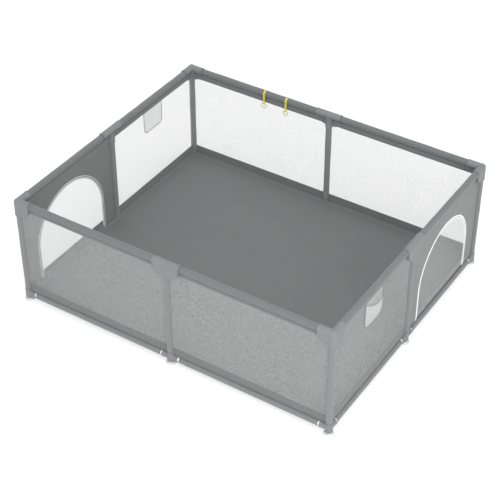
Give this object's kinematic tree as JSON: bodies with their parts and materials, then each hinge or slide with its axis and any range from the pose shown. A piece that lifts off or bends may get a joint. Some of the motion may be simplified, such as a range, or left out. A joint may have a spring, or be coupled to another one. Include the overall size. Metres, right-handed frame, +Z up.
{
  "type": "playpen",
  "caption": "Rectangular baby playpen with a padded tube frame, mesh walls, a cloth floor, zipped arch doors in its short sides, outside pockets, pull rings and suction-cup feet.",
  "frame": {"origin": "on the ground, under the middle of the playpen", "axes": "+X along a long side, +Y towards the long side that carries the pull rings, +Z up"},
  "size_m": [1.9246, 1.619, 0.6642],
  "materials": {
    "steel_tube": "white powder-coated steel tube",
    "connector": "grey moulded plastic, fine matt texture",
    "suction_cup": "clear soft PVC",
    "cover": "grey woven polyester cloth with light grey mesh windows",
    "door_mesh": "light grey polyester mesh",
    "pocket_mesh": "white polyester mesh with grey binding",
    "strap_webbing": "yellow webbing",
    "ring_plastic": "pale yellow moulded plastic",
    "zip_metal": "light grey enamelled zinc"
  },
  "bodies": {
    "frame": {"bottom_rail_back_left": "steel_tube", "bottom_rail_back_right": "steel_tube", "bottom_rail_front_left": "steel_tube", "bottom_rail_front_right": "steel_tube", "bottom_rail_left_back": "steel_tube", "bottom_rail_left_front": "steel_tube", "bottom_rail_right_back": "steel_tube", "bottom_rail_right_front": "steel_tube", "corner_post_back_left": "steel_tube", "corner_post_back_right": "steel_tube", "corner_post_front_left": "steel_tube", "corner_post_front_right": "steel_tube", "floor_cloth": "cover", "foot_corner_back_left": "connector", "foot_corner_back_right": "connector", "foot_corner_front_left": "connector", "foot_corner_front_right": "connector", "foot_tee_back": "connector", "foot_tee_front": "connector", "foot_tee_left": "connector", "foot_tee_right": "connector", "mid_post_back": "steel_tube", "mid_post_front": "steel_tube", "mid_post_left": "steel_tube", "mid_post_right": "steel_tube", "pocket_left": "pocket_mesh", "pocket_right": "pocket_mesh", "suction_cup_back_left": "suction_cup", "suction_cup_back_right": "suction_cup", "suction_cup_front_left": "suction_cup", "suction_cup_front_right": "suction_cup", "top_corner_back_left": "connector", "top_corner_back_right": "connector", "top_corner_front_left": "connector", "top_corner_front_right": "connector", "top_rail_back_left": "steel_tube", "top_rail_back_right": "steel_tube", "top_rail_front_left": "steel_tube", "top_rail_front_right": "steel_tube", "top_rail_left_back": "steel_tube", "top_rail_left_front": "steel_tube", "top_rail_right_back": "steel_tube", "top_rail_right_front": "steel_tube", "top_tee_back": "connector", "top_tee_front": "connector", "top_tee_left": "connector", "top_tee_right": "connector", "wall_back": "cover", "wall_front": "cover", "wall_left": "cover", "wall_right": "cover"},
    "left_door": {"door_left": "door_mesh"},
    "left_zip_slider": {"zip_slider_left": "zip_metal"},
    "left_strap": {"pull_strap_left": "strap_webbing"},
    "left_ring": {"pull_ring_left": "ring_plastic"},
    "right_door": {"door_right": "door_mesh"},
    "right_zip_slider": {"zip_slider_right": "zip_metal"},
    "right_strap": {"pull_strap_right": "strap_webbing"},
    "right_ring": {"pull_ring_right": "ring_plastic"}
  },
  "joints": [
    {"name": "left_door_fold", "type": "hinge", "parent": "frame", "child": "left_door", "pos_m": [-0.9325, -0.39125, 0.0665], "axis": [0, -1, 0], "range_deg": [-90, 90]},
    {"name": "left_zip_travel", "type": "slide", "parent": "frame", "child": "left_zip_slider", "axis": [0, 0, 1], "range_m": [0, 0.14]},
    {"name": "left_strap_swing", "type": "hinge", "parent": "frame", "child": "left_strap", "pos_m": [-0.42, 0.7635, 0.6425], "axis": [-1, 0, 0], "range_deg": [0, 100]},
    {"name": "left_ring_swing", "type": "hinge", "parent": "left_strap", "child": "left_ring", "pos_m": [-0.42, 0.7635, 0.585], "axis": [-1, 0, 0], "range_deg": [-20, 90]},
    {"name": "right_door_fold", "type": "hinge", "parent": "frame", "child": "right_door", "pos_m": [0.9325, 0.39125, 0.0665], "axis": [0, 1, 0], "range_deg": [-90, 90]},
    {"name": "right_zip_travel", "type": "slide", "parent": "frame", "child": "right_zip_slider", "axis": [0, 0, 1], "range_m": [0, 0.14]},
    {"name": "right_strap_swing", "type": "hinge", "parent": "frame", "child": "right_strap", "pos_m": [-0.275, 0.7635, 0.6425], "axis": [-1, 0, 0], "range_deg": [0, 100]},
    {"name": "right_ring_swing", "type": "hinge", "parent": "right_strap", "child": "right_ring", "pos_m": [-0.275, 0.7635, 0.585], "axis": [-1, 0, 0], "range_deg": [-20, 90]}
  ]
}
